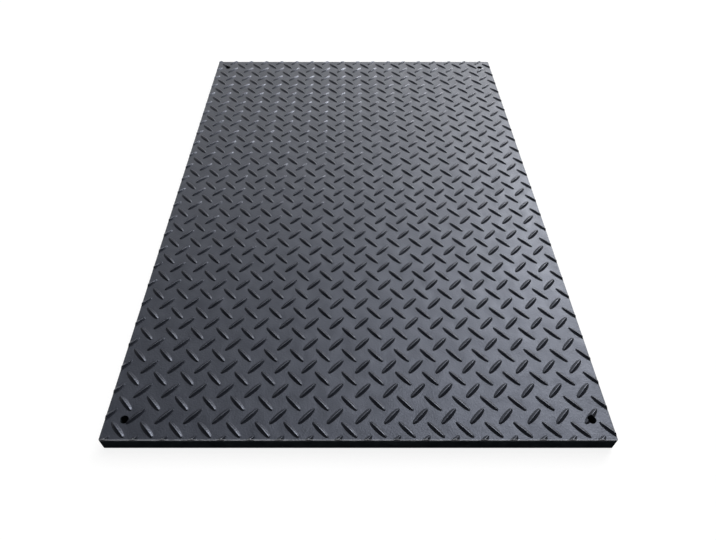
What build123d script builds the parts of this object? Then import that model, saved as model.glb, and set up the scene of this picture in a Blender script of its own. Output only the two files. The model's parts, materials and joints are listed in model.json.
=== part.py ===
"""Ground protection mat: one thick moulded plastic sheet with a raised tread of crossed lugs.

The sheet lies flat with its underside on Z = 0 and the middle of the underside at the origin.
X runs across the mat, Y runs along it, and the tread is on top. All sizes are in millimetres.
"""
import os
from math import cos, radians, sin

from build123d import *

# Sheet, sawn to size from a larger moulding
MAT_WIDTH = 1220.0
MAT_LENGTH = 1830.0
SHEET_THICKNESS = 40.0
CORNER_RADIUS = 4.0
EDGE_BREAK = 1.5

# Fixing holes, one near each corner, drilled right through
HOLE_DIAMETER = 21.0
HOLE_INSET_X = 47.0
HOLE_INSET_Y = 54.0

# One tread lug: a slender diamond in plan that rises to a short ridge
LUG_LENGTH = 56.0
LUG_WIDTH = 15.5
LUG_HEIGHT = 5.0
RIDGE_LENGTH = 28.0
LUG_ANGLE = 47.0

# The two crossed families of lugs share one lattice, shifted by half a pitch both ways.
# The first lug of the left-leaning family is placed from the mat's front left corner.
PITCH_X = 68.8
PITCH_Y = 70.4
FIRST_LUG_X = 38.5
FIRST_LUG_Y = 27.5

# Half the plan size of a lug turned to its angle, of the tread and of the hole pattern
REACH_X = LUG_LENGTH / 2 * cos(radians(LUG_ANGLE))
REACH_Y = LUG_LENGTH / 2 * sin(radians(LUG_ANGLE))
TREAD_X = MAT_WIDTH / 2 - EDGE_BREAK
TREAD_Y = MAT_LENGTH / 2 - EDGE_BREAK
HOLE_X = MAT_WIDTH / 2 - HOLE_INSET_X
HOLE_Y = MAT_LENGTH / 2 - HOLE_INSET_Y


def lug_places(start_x, start_y, angle):
    """Where the lugs of one family stand, for every lug that reaches onto the mat."""
    columns = range(-1, int(MAT_WIDTH / PITCH_X) + 2)
    rows = range(-1, int(MAT_LENGTH / PITCH_Y) + 2)
    centres = [
        (start_x + PITCH_X * i - MAT_WIDTH / 2, start_y + PITCH_Y * j - MAT_LENGTH / 2)
        for i in columns
        for j in rows
    ]
    return [
        Location((x, y, SHEET_THICKNESS), (0, 0, angle))
        for x, y in centres
        if abs(x) < TREAD_X + REACH_X and abs(y) < TREAD_Y + REACH_Y
    ]


def is_whole(place):
    """True for a lug that neither an edge nor a hole of the mat cuts."""
    x, y, _ = place.position
    inside = abs(x) < TREAD_X - REACH_X and abs(y) < TREAD_Y - REACH_Y
    near_hole = (
        abs(abs(x) - HOLE_X) < REACH_X + HOLE_DIAMETER / 2
        and abs(abs(y) - HOLE_Y) < REACH_Y + HOLE_DIAMETER / 2
    )
    return inside and not near_hole


# A lug is two halves, each tapering from the upright ridge profile to a point at its side
with BuildPart() as lug:
    with BuildSketch(Plane.XZ) as ridge_profile:
        with BuildLine():
            Polyline(
                (-LUG_LENGTH / 2, 0),
                (LUG_LENGTH / 2, 0),
                (RIDGE_LENGTH / 2, LUG_HEIGHT),
                (-RIDGE_LENGTH / 2, LUG_HEIGHT),
                close=True,
            )
        make_face()
    loft([ridge_profile.sketch.face(), Vertex(0, LUG_WIDTH / 2, 0)])
    mirror(about=Plane.XZ)

places = lug_places(FIRST_LUG_X, FIRST_LUG_Y, -LUG_ANGLE) + lug_places(
    FIRST_LUG_X + PITCH_X / 2, FIRST_LUG_Y + PITCH_Y / 2, LUG_ANGLE
)

# The lugs that the saw and the drill cut are trimmed apart from the whole ones
with BuildPart() as cut_lugs:
    with Locations(*[place for place in places if not is_whole(place)]):
        add(lug.part)
    with BuildSketch(Plane.XY.offset(SHEET_THICKNESS)):
        Rectangle(2 * TREAD_X, 2 * TREAD_Y)
        with GridLocations(2 * HOLE_X, 2 * HOLE_Y, 2, 2):
            Circle(HOLE_DIAMETER / 2, mode=Mode.SUBTRACT)
    extrude(amount=LUG_HEIGHT, mode=Mode.INTERSECT)

with BuildPart() as tread:
    with Locations(*[place for place in places if is_whole(place)]):
        add(lug.part, clean=False)
    add(cut_lugs.part, clean=False)

with BuildPart() as mat:
    with BuildSketch():
        RectangleRounded(MAT_WIDTH, MAT_LENGTH, CORNER_RADIUS)
    extrude(amount=SHEET_THICKNESS)
    chamfer(mat.faces().filter_by(Axis.Z).edges(), EDGE_BREAK)
    with GridLocations(2 * HOLE_X, 2 * HOLE_Y, 2, 2):
        Hole(HOLE_DIAMETER / 2)
    add(tread.part, clean=False)
mat.part.label = "mat"

os.makedirs("parts", exist_ok=True)
export_step(mat.part, "parts/mat.step")
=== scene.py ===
"""Looks of the ground protection mat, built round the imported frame. All sizes are in metres.

The sheet lies on Z = 0 with its tread up. X runs across it and Y along it, away from the camera.
"""
import json
import math

import bmesh
import bpy
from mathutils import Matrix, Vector
from mathutils.geometry import delaunay_2d_cdt


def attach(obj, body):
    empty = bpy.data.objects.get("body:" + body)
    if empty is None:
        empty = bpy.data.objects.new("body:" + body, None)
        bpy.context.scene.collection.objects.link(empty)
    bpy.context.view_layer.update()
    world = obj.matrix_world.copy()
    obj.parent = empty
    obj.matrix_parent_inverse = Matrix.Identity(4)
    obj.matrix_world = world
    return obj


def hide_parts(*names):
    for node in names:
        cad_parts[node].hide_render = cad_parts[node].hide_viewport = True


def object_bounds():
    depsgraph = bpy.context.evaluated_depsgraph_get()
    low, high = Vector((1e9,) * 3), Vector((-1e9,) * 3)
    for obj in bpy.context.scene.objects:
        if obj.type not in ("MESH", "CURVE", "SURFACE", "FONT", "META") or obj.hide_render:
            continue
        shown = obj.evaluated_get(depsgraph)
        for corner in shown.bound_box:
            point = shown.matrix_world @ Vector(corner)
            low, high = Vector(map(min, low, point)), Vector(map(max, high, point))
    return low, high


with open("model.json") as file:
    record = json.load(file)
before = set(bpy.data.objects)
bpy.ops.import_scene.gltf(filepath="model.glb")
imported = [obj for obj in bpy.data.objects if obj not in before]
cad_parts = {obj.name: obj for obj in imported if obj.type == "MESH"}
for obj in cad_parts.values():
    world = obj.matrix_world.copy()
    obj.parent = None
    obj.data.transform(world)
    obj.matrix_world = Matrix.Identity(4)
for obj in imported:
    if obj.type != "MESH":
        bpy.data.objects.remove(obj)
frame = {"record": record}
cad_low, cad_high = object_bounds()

# Sheet and holes, as the frame gives them
HALF_WIDTH = cad_high.x
HALF_LENGTH = cad_high.y
LUG_HEIGHT = 0.005
SHEET_TOP = cad_high.z - LUG_HEIGHT
HOLES = [m for m in frame["record"]["mounts"] if m["kind"] == "bore"]

# Sawn edges are rounded over, and the tread stops where the upper rounding starts
CORNER_RADIUS = 0.004
CORNER_STEPS = 6
EDGE_ROUND = 0.0015
EDGE_STEPS = 4
HOLE_LIP = 0.0005
HOLE_STEPS = 40

# One lug of the tread: a lens in plan with a rounded crest along its middle
LUG_LENGTH = 0.056
LUG_WIDTH = 0.0155
LUG_BLUNTNESS = 0.42
LUG_ANGLE = math.radians(47)
LUG_POINTS = 20
CREST_SHARE = 0.92
CREST_DROP = 0.5
CREST_ROUND = 0.12

# Where a lug's rings lie, as shares of the way out from its crest to its foot
LUG_RINGS = (1.0, 0.5, 0.24, 0.1)

# How far a lug at its angle reaches to each side of its centre, roughly
LUG_REACH = LUG_LENGTH * 0.37

# The two crossed families share one lattice, shifted by half a pitch both ways
PITCH_X = 0.0688
PITCH_Y = 0.0704
FIRST_LUG_X = 0.0385
FIRST_LUG_Y = 0.0275

# The moulding is made larger than the mat, and then sawn and drilled to it
SPARE = 0.045
CLEAR = 0.002
MERGE_DISTANCE = 1e-7


def lens_point(turn):
    """A point on the outline of a lug at the origin, for a turn from 0 to 1 round it."""
    angle = math.tau * turn
    along = math.cos(angle)
    out = (1 - along * along) ** LUG_BLUNTNESS if abs(along) < 1 else 0.0
    return LUG_LENGTH / 2 * along, LUG_WIDTH / 2 * math.copysign(out, math.sin(angle))


def lug_section(share):
    """Height of a lug, as a share of its crest's, at a share of the way out from the crest."""
    top = math.hypot(1, CREST_ROUND)
    return (top - math.hypot(share, CREST_ROUND)) / (top - CREST_ROUND)


def lug_rings():
    """The rings of one lug at the origin, from its foot up, and the points along its crest."""
    rings = []
    for share in LUG_RINGS + (0.0,):
        ring = []
        for k in range(LUG_POINTS):
            x, y = lens_point(k / LUG_POINTS)
            crest_x = x * CREST_SHARE
            drop = 1 - CREST_DROP * (x / (LUG_LENGTH / 2)) ** 2
            height = LUG_HEIGHT * drop * lug_section(share)
            ring.append(Vector((crest_x + (x - crest_x) * share, y * share, height)))
        rings.append(ring)
    return rings


def placed_rings(rings, centre, angle):
    """The rings of one lug, turned by an angle and moved to its centre on the sheet's top."""
    x, y = centre
    cos_a = math.cos(angle)
    sin_a = math.sin(angle)
    return [
        [(x + p.x * cos_a - p.y * sin_a, y + p.x * sin_a + p.y * cos_a, SHEET_TOP + p.z) for p in ring]
        for ring in rings
    ]


def lattice(start_x, start_y):
    """Centres of the lugs of one family that lie whole on the moulding."""
    margin = SPARE - LUG_REACH
    centres = []
    for i in range(-1, int(2 * HALF_WIDTH / PITCH_X) + 2):
        for j in range(-1, int(2 * HALF_LENGTH / PITCH_Y) + 2):
            x = start_x + PITCH_X * i - HALF_WIDTH
            y = start_y + PITCH_Y * j - HALF_LENGTH
            if abs(x) < HALF_WIDTH + margin and abs(y) < HALF_LENGTH + margin:
                centres.append((x, y))
    return centres


class Feet:
    """The outlines of all lugs' feet, which the plain face between the lugs is fitted to."""

    def __init__(self):
        self.points = []
        self.verts = []
        self.edges = []
        self.owners = []

    def add(self, verts):
        """Adds one lug's foot, given by its vertices in order."""
        start = len(self.points)
        number = self.owners[-1] + 1 if self.owners else 0
        for k, vert in enumerate(verts):
            self.points.append(Vector(vert.co[:2]))
            self.verts.append(vert)
            self.edges.append((start + k, start + (k + 1) % len(verts)))
            self.owners.append(number)


def moulding():
    """The tread and the block under it as one closed mesh, larger than the mat all round."""
    bm = bmesh.new()
    rings = lug_rings()
    feet = Feet()
    families = (
        (lattice(FIRST_LUG_X, FIRST_LUG_Y), -LUG_ANGLE),
        (lattice(FIRST_LUG_X + PITCH_X / 2, FIRST_LUG_Y + PITCH_Y / 2), LUG_ANGLE),
    )
    for centres, angle in families:
        for centre in centres:
            feet.add(add_lug(bm, placed_rings(rings, centre, angle)))
    add_plain(bm, feet)
    bmesh.ops.recalc_face_normals(bm, faces=bm.faces[:])
    return bm


def add_lug(bm, rings):
    """Adds one lug's faces, and returns the vertices of its foot."""
    rows = [[bm.verts.new(at) for at in ring] for ring in rings[:-1]]
    count = LUG_POINTS
    crest = {}
    crest_row = []
    for k in range(count):
        mirror = min(k, count - k) % count
        if mirror not in crest:
            crest[mirror] = bm.verts.new(rings[-1][k])
        crest_row.append(crest[mirror])
    rows.append(crest_row)
    for low, high in zip(rows, rows[1:]):
        for k in range(count):
            n = (k + 1) % count
            corners = [low[k], low[n], high[n], high[k]]
            bm.faces.new([v for i, v in enumerate(corners) if v not in corners[:i]])
    return rows[0]


def add_plain(bm, feet):
    """The plain face between the lugs, and the walls and bottom that close the block."""
    wide = HALF_WIDTH + SPARE
    long = HALF_LENGTH + SPARE
    corners = [(-wide, -long), (wide, -long), (wide, long), (-wide, long)]
    start = len(feet.points)
    points = feet.points + [Vector(c) for c in corners]
    edges = feet.edges + [(start + k, start + (k + 1) % 4) for k in range(4)]
    top = [bm.verts.new((x, y, SHEET_TOP)) for x, y in corners]
    verts = feet.verts + top
    owners = feet.owners + [-1] * 4
    _, _, faces, origin, _, _ = delaunay_2d_cdt(points, edges, [], 0, MERGE_DISTANCE)
    for face in faces:
        ids = [origin[v][0] for v in face]
        under_a_lug = len({owners[i] for i in ids}) == 1 and owners[ids[0]] >= 0
        if not under_a_lug:
            bm.faces.new([verts[i] for i in ids])
    low = [bm.verts.new((x, y, -CLEAR)) for x, y in corners]
    for k in range(4):
        n = (k + 1) % 4
        bm.faces.new([top[k], top[n], low[n], low[k]])
    bm.faces.new(low)


def rounded_outline(inset, height):
    """The mat's outline with round corners, drawn in by inset, at a height."""
    radius = CORNER_RADIUS
    loop = []
    for sx, sy, first in ((1, 1, 0), (-1, 1, 90), (-1, -1, 180), (1, -1, 270)):
        for k in range(CORNER_STEPS + 1):
            angle = math.radians(first + 90 * k / CORNER_STEPS)
            x = sx * (HALF_WIDTH - radius) + (radius - inset) * math.cos(angle)
            y = sy * (HALF_LENGTH - radius) + (radius - inset) * math.sin(angle)
            loop.append((x, y, height))
    return loop


def skin(bm, loops):
    """Faces between closed loops of equal length, with a cap at each end."""
    rows = [[bm.verts.new(at) for at in loop] for loop in loops]
    count = len(rows[0])
    for low, high in zip(rows, rows[1:]):
        for k in range(count):
            n = (k + 1) % count
            bm.faces.new([low[k], low[n], high[n], high[k]])
    bm.faces.new(rows[0])
    bm.faces.new(rows[-1])
    bmesh.ops.recalc_face_normals(bm, faces=bm.faces[:])


def saw_block():
    """What the saw leaves of the moulding: upright sides with both edges rounded over."""
    bm = bmesh.new()
    loops = []
    for k in range(EDGE_STEPS + 1):
        angle = math.pi / 2 * (1 - k / EDGE_STEPS)
        inset = EDGE_ROUND * (1 - math.cos(angle))
        loops.append(rounded_outline(inset, EDGE_ROUND * (1 - math.sin(angle))))
    for k in range(EDGE_STEPS + 1):
        angle = math.pi / 2 * k / EDGE_STEPS
        inset = EDGE_ROUND * (1 - math.cos(angle))
        loops.append(rounded_outline(inset, SHEET_TOP - EDGE_ROUND * (1 - math.sin(angle))))
    loops.append(rounded_outline(EDGE_ROUND, cad_high.z + CLEAR))
    skin(bm, loops)
    return bm


def drill(hole):
    """One drilled hole's cutter: round, with a slight lip at the sheet's top."""
    bm = bmesh.new()
    x, y, _ = hole["pos_m"]
    radius = hole["dims"]["r_mm"] / 1000
    turns = [math.tau * k / HOLE_STEPS for k in range(HOLE_STEPS)]
    loops = []
    for height, reach in (
        (-CLEAR, radius),
        (SHEET_TOP - HOLE_LIP, radius),
        (SHEET_TOP, radius + HOLE_LIP),
        (cad_high.z + CLEAR, radius + HOLE_LIP),
    ):
        loops.append([(x + reach * math.cos(a), y + reach * math.sin(a), height) for a in turns])
    skin(bm, loops)
    return bm


def to_object(bm, name):
    """A new object in the scene that holds the bmesh, which is used up."""
    mesh = bpy.data.meshes.new(name)
    bm.to_mesh(mesh)
    bm.free()
    obj = bpy.data.objects.new(name, mesh)
    bpy.context.scene.collection.objects.link(obj)
    return obj


def cut(obj, cutter, operation):
    """obj with a cutter taken away or kept in common. The cutter is used up."""
    mod = obj.modifiers.new("cut", "BOOLEAN")
    mod.object = cutter
    mod.operation = operation
    mod.solver = "MANIFOLD"
    depsgraph = bpy.context.evaluated_depsgraph_get()
    mesh = bpy.data.meshes.new_from_object(obj.evaluated_get(depsgraph))
    obj.modifiers.clear()
    old = obj.data
    obj.data = mesh
    bpy.data.meshes.remove(old)
    gone = cutter.data
    bpy.data.objects.remove(cutter)
    bpy.data.meshes.remove(gone)


def make_mat():
    """The mat: the moulding, sawn to the outline and drilled."""
    mat = to_object(moulding(), "treaded_mat")
    cut(mat, to_object(saw_block(), "saw"), "INTERSECT")
    for hole in HOLES:
        cut(mat, to_object(drill(hole), "drill"), "DIFFERENCE")
    return mat


# The photograph's camera, from a fit to the mat's corners, holes and tread
IMAGE_WIDTH = 716
SENSOR_WIDTH_MM = 36.0
FOCAL_PIXELS = 562.9
CAMERA_PITCH = math.radians(47.37)
CAMERA_PLACE = Vector((-0.0216, -1.514, 1.241 + SHEET_TOP))
CENTRE_SHIFT_PIXELS = 9.0

# Studio: a wide screen of light behind the mat, brighter to the right, and a small lamp for glints.
# The screen is part of the world. Turns go from straight behind the mat to the right, in radians,
# and heights are the upward share of a direction, from 0 at the horizon to 1 overhead.
SCREEN_MIDDLE = 2.15
SCREEN_RISE = 1.35
RIGHT_RISE = 1.0
RIGHT_RISE_TURNS = (-0.1, 0.9)
RIGHT_END_TURNS = (math.radians(40), math.radians(56))
LEFT_END_TURNS = (math.radians(-90), math.radians(-60))
LOWER_END_HEIGHTS = (0.25, 0.42)
LOWER_END_GLOW = 0.1
UPPER_FADE_HEIGHTS = (0.45, 0.7)
UPPER_FADE_GLOWS = (1.25, 0.88)
HORIZON_HEIGHTS = (0.1, 0.3)
HORIZON_GLOW = 0.3
AMBIENT = 0.05
KEY_FROM = Vector((0.507, 0.604, 0.616))
KEY_DISTANCE = 4.5
KEY_SIZE = 0.5
KEY_POWER = 32

# Floor, a little under the mat, that shows white where nothing shades it
FLOOR_HALF = 12.0
FLOOR_DROP = 0.0005
FLOOR_COLOR = (0.14, 0.14, 0.14, 1)
FLOOR_GLOW = 0.88

# Plastic: colours are linear, noise scales are per metre and bump depths are in metres
WHITE = (1, 1, 1, 1)
PLASTIC_IOR = 1.5
SKIN_DARK = (0.0085, 0.0097, 0.0135, 1)
SKIN_LIGHT = (0.0112, 0.0126, 0.0170, 1)
SKIN_PATCH = (0.015, 0.0165, 0.020, 1)
# Light grey painted along the edges of the two ends: partly scuffing, partly a painted highlight on the
# rounded edge
SKIN_SCUFF_AND_HIGHLIGHT = (0.24, 0.245, 0.26, 1)
SKIN_TINT = (0.76, 0.82, 1.0, 1)
SKIN_ROUGHNESS = (0.36, 0.42)
PATCH_ROUGHNESS = 0.03
LUG_GLOSS = 0.19
LUG_GLOSS_HEIGHTS = (0.0006, 0.003)
SWELL_DEPTH = 0.003
PATCH_DEPTH = 0.00015
PIT_DEPTH = 0.0006
GRAIN_DEPTH = 0.000015
SAWN_DARK = (0.023, 0.028, 0.033, 1)
SAWN_LIGHT = (0.040, 0.048, 0.055, 1)
SAWN_ROUGHNESS = (0.62, 0.78)
SCORE_STRETCH = (14.0, 14.0, 900.0)
SCORE_DEPTH = 0.00008

# Most values of a noise lie between the first two. Patches and the breaks in the end edges' scuffing and
# painted highlight use a range of their own.
NOISE_LOW = 0.3
NOISE_HIGH = 0.7
PATCH_NOISE = (0.35, 0.75)
PATCH_MOST = 0.35
EDGE_BREAK_NOISE = (0.3, 0.6)
EDGE_BREAK_LEAST = 0.45

# Scuffing and a painted highlight fade out between these two distances in from the end of the mat
SCUFF_AND_HIGHLIGHT_REACH = (EDGE_ROUND * 1.2, EDGE_ROUND * 2)

# Limits that tell the mat's faces and edges apart
UPRIGHT_LIMIT = 0.05
FLAT_LIMIT = 0.9999
BELOW_TOP = 0.0001
CREASE_ANGLE = math.radians(38)


class Tree:
    """Small helper that adds nodes to a node tree and joins them."""

    def __init__(self, tree):
        self.tree = tree
        tree.nodes.clear()

    def put(self, socket, value):
        """Sets an input socket to a value, or joins another node's output to it."""
        if isinstance(value, bpy.types.NodeSocket):
            self.tree.links.new(value, socket)
        else:
            socket.default_value = value

    def add(self, kind, inputs=None, **settings):
        """A new node. Inputs map a socket's name or number to a value or to another node's output."""
        made = self.tree.nodes.new(kind)
        for name, value in settings.items():
            setattr(made, name, value)
        for name, value in (inputs or {}).items():
            self.put(made.inputs[name], value)
        return made

    def math(self, operation, a, b=0.0, clamp=False):
        """The output of a math node."""
        return self.add("ShaderNodeMath", {0: a, 1: b}, operation=operation, use_clamp=clamp).outputs[0]

    def noise(self, place, scale, detail, roughness):
        """The value of a noise texture, centred on one half."""
        inputs = {"Vector": place, "Scale": scale, "Detail": detail, "Roughness": roughness}
        return self.add("ShaderNodeTexNoise", inputs).outputs["Fac"]

    def spread(self, value, low, high, to_low=0.0, to_high=1.0):
        """A value taken from one range to another, and held at its ends."""
        inputs = {"Value": value, "From Min": low, "From Max": high, "To Min": to_low, "To Max": to_high}
        return self.add("ShaderNodeMapRange", inputs).outputs["Result"]

    def mix(self, factor, a, b):
        """A blend of two colours."""
        made = self.add("ShaderNodeMix", data_type="RGBA")
        for number, value in ((0, factor), (6, a), (7, b)):
            self.put(made.inputs[number], value)
        return made.outputs[2]

    def bump(self, height, depth, normal=None):
        """The normal of a bump of that depth in metres, on top of another where one is given."""
        inputs = {"Height": height, "Distance": depth, "Strength": 1.0}
        if normal is not None:
            inputs["Normal"] = normal
        return self.add("ShaderNodeBump", inputs).outputs["Normal"]

    def finish(self, shader, output="ShaderNodeOutputMaterial"):
        """Joins the shader to the tree's output."""
        self.add(output, {"Surface": shader.outputs[0]})


def new_material(name):
    """A new material and the helper for its node tree."""
    material = bpy.data.materials.new(name)
    material.use_nodes = True
    return material, Tree(material.node_tree)


def edge_scuff_and_highlight(t, place):
    """How much scuffing and painted highlight a point gets: most along the edges of the two ends, and not
    at all elsewhere.
    """
    axes = t.add("ShaderNodeSeparateXYZ", {0: place}).outputs
    inward = t.math("SUBTRACT", HALF_LENGTH, t.math("ABSOLUTE", axes["Y"]))
    near = t.spread(inward, *SCUFF_AND_HIGHLIGHT_REACH, 1.0, 0.0)
    edge_breaks = t.noise(place, scale=60.0, detail=3.0, roughness=0.6)
    return t.math("MULTIPLY", near, t.spread(edge_breaks, *EDGE_BREAK_NOISE, EDGE_BREAK_LEAST, 1.0))


def moulded_plastic():
    """Dark, slightly blue plastic with a satin moulded skin, glossier on the lugs."""
    material, t = new_material("moulded_plastic")
    place = t.add("ShaderNodeTexCoord").outputs["Object"]
    height = t.add("ShaderNodeSeparateXYZ", {0: place}).outputs["Z"]
    gloss_from, gloss_to = LUG_GLOSS_HEIGHTS
    on_lug = t.spread(height, SHEET_TOP + gloss_from, SHEET_TOP + gloss_to)
    cloud = t.noise(place, scale=4.0, detail=4.0, roughness=0.55)
    patch = t.noise(place, scale=38.0, detail=3.0, roughness=0.5)
    pits = t.noise(place, scale=260.0, detail=2.0, roughness=0.5)
    grain = t.noise(place, scale=900.0, detail=2.0, roughness=0.6)
    swell = t.noise(place, scale=17.0, detail=1.0, roughness=0.4)
    shade = t.mix(t.spread(cloud, NOISE_LOW, NOISE_HIGH), SKIN_DARK, SKIN_LIGHT)
    shade = t.mix(t.spread(patch, *PATCH_NOISE, 0.0, PATCH_MOST), shade, SKIN_PATCH)
    # Light grey painted along the edges of the two ends: scuffing and a painted highlight
    shade = t.mix(edge_scuff_and_highlight(t, place), shade, SKIN_SCUFF_AND_HIGHLIGHT)
    cloud_rough = t.spread(cloud, NOISE_LOW, NOISE_HIGH, *SKIN_ROUGHNESS)
    patch_rough = t.spread(patch, NOISE_LOW, NOISE_HIGH, -PATCH_ROUGHNESS, PATCH_ROUGHNESS)
    rough = t.math("ADD", cloud_rough, patch_rough)
    rough = t.math("SUBTRACT", rough, t.math("MULTIPLY", on_lug, LUG_GLOSS))
    normal = None
    for relief, depth in (
        (swell, SWELL_DEPTH),
        (patch, PATCH_DEPTH),
        (pits, PIT_DEPTH),
        (grain, GRAIN_DEPTH),
    ):
        normal = t.bump(relief, depth, normal)
    inputs = {
        "Base Color": shade,
        "Roughness": rough,
        "Normal": normal,
        "IOR": PLASTIC_IOR,
        "Specular Tint": SKIN_TINT,
    }
    t.finish(t.add("ShaderNodeBsdfPrincipled", inputs))
    return material


def sawn_plastic():
    """The same plastic where the saw or the drill cut it: dull, without sheen and finely scored."""
    material, t = new_material("sawn_plastic")
    place = t.add("ShaderNodeTexCoord").outputs["Object"]
    stretch = t.add("ShaderNodeMapping", {"Vector": place, "Scale": SCORE_STRETCH}).outputs[0]
    score = t.noise(stretch, scale=1.0, detail=3.0, roughness=0.6)
    patch = t.noise(place, scale=30.0, detail=3.0, roughness=0.5)
    inputs = {
        "Base Color": t.mix(t.spread(patch, NOISE_LOW, NOISE_HIGH), SAWN_DARK, SAWN_LIGHT),
        "Roughness": t.spread(score, NOISE_LOW, NOISE_HIGH, *SAWN_ROUGHNESS),
        "Normal": t.bump(score, SCORE_DEPTH),
        "IOR": PLASTIC_IOR,
        "Specular IOR Level": 0.0,
    }
    t.finish(t.add("ShaderNodeBsdfPrincipled", inputs))
    return material


def finish_surface(mat):
    """Gives each face its material, and keeps the creases at feet and edges sharp."""
    mesh = mat.data
    mesh.materials.clear()
    mesh.materials.append(moulded_plastic())
    mesh.materials.append(sawn_plastic())
    bm = bmesh.new()
    bm.from_mesh(mesh)
    bm.normal_update()
    for face in bm.faces:
        face.smooth = True
        upright = abs(face.normal.z) < UPRIGHT_LIMIT
        below_tread = face.calc_center_median().z < SHEET_TOP - BELOW_TOP
        face.material_index = 1 if upright and below_tread else 0
    for edge in bm.edges:
        flat = [abs(f.normal.z) > FLAT_LIMIT for f in edge.link_faces]
        turn = edge.calc_face_angle(0.0)
        edge.smooth = not (flat[0] != flat[-1] or turn > CREASE_ANGLE)
    bm.to_mesh(mesh)
    bm.free()


def make_key_lamp():
    """A square lamp behind the mat to the right, aimed at its middle and unseen by the camera."""
    light = bpy.data.lights.new("key", "AREA")
    light.shape = "RECTANGLE"
    light.size = KEY_SIZE
    light.size_y = KEY_SIZE
    light.energy = KEY_POWER
    obj = bpy.data.objects.new("key", light)
    obj.location = KEY_FROM.normalized() * KEY_DISTANCE
    obj.rotation_euler = KEY_FROM.to_track_quat("Z", "Y").to_euler()
    obj.visible_camera = False
    bpy.context.scene.collection.objects.link(obj)


def ray_kinds(t, *kinds):
    """One for rays of the named kinds, and nothing for the others."""
    path = t.add("ShaderNodeLightPath")
    found = path.outputs[kinds[0]]
    for kind in kinds[1:]:
        found = t.math("ADD", found, path.outputs[kind], clamp=True)
    return found


def make_floor():
    """A pale floor that shows almost white and keeps a soft shadow."""
    bm = bmesh.new()
    signs = ((-1, -1), (1, -1), (1, 1), (-1, 1))
    bm.faces.new([bm.verts.new((sx * FLOOR_HALF, sy * FLOOR_HALF, 0)) for sx, sy in signs])
    floor = to_object(bm, "floor")
    floor.location.z = -FLOOR_DROP
    material, t = new_material("floor")
    shown = ray_kinds(t, "Is Camera Ray", "Is Glossy Ray", "Is Transmission Ray")
    inputs = {
        "Base Color": FLOOR_COLOR,
        "Roughness": 1.0,
        "Specular IOR Level": 0.0,
        "Emission Color": WHITE,
        "Emission Strength": t.math("MULTIPLY", shown, FLOOR_GLOW),
    }
    t.finish(t.add("ShaderNodeBsdfPrincipled", inputs))
    floor.data.materials.append(material)


def screen_glow(t, turn, height):
    """Strength of the screen of light in a direction, given by its turn and height."""
    rise = t.math("MULTIPLY", turn, SCREEN_RISE)
    rise = t.math("EXPONENT", t.math("ADD", rise, t.spread(turn, *RIGHT_RISE_TURNS, 0.0, RIGHT_RISE)))
    right_end = t.spread(turn, *RIGHT_END_TURNS, SCREEN_MIDDLE, 0.0)
    left_end = t.spread(turn, *LEFT_END_TURNS)
    screen = t.math("MULTIPLY", rise, t.math("MULTIPLY", right_end, left_end))
    upper_fade = t.spread(height, *UPPER_FADE_HEIGHTS, *UPPER_FADE_GLOWS)
    lower_end = t.spread(height, *LOWER_END_HEIGHTS, LOWER_END_GLOW, 1.0)
    return t.math("MULTIPLY", screen, t.math("MULTIPLY", upper_fade, lower_end))


def make_world():
    """White where it is seen, and otherwise a wide screen of light behind the mat."""
    world = bpy.data.worlds.new("studio")
    bpy.context.scene.world = world
    world.use_nodes = True
    t = Tree(world.node_tree)
    toward = t.add("ShaderNodeSeparateXYZ", {0: t.add("ShaderNodeTexCoord").outputs["Generated"]}).outputs
    turn = t.math("ARCTAN2", toward["X"], toward["Y"])
    screen = screen_glow(t, turn, toward["Z"])
    horizon = t.spread(toward["Z"], *HORIZON_HEIGHTS, HORIZON_GLOW, 0.0)
    glow = t.math("ADD", t.math("ADD", screen, horizon), AMBIENT)
    seen = ray_kinds(t, "Is Camera Ray", "Is Transmission Ray")
    lit = t.math("MULTIPLY", glow, t.math("SUBTRACT", 1.0, seen))
    inputs = {"Color": WHITE, "Strength": t.math("ADD", seen, lit)}
    t.finish(t.add("ShaderNodeBackground", inputs), "ShaderNodeOutputWorld")


def make_camera():
    """The photograph's view: level, straight on, and looking down."""
    data = bpy.data.cameras.new("camera")
    data.sensor_width = SENSOR_WIDTH_MM
    data.lens = FOCAL_PIXELS / IMAGE_WIDTH * data.sensor_width
    data.shift_x = CENTRE_SHIFT_PIXELS / IMAGE_WIDTH
    camera = bpy.data.objects.new("camera", data)
    camera.location = CAMERA_PLACE
    camera.rotation_euler = (math.pi / 2 - CAMERA_PITCH, 0, 0)
    bpy.context.scene.collection.objects.link(camera)
    bpy.context.scene.camera = camera


piece = make_mat()
finish_surface(piece)
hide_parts("mat")
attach(piece, "root")

make_floor()
make_world()
make_key_lamp()
make_camera()
bpy.context.scene.view_settings.view_transform = "Standard"
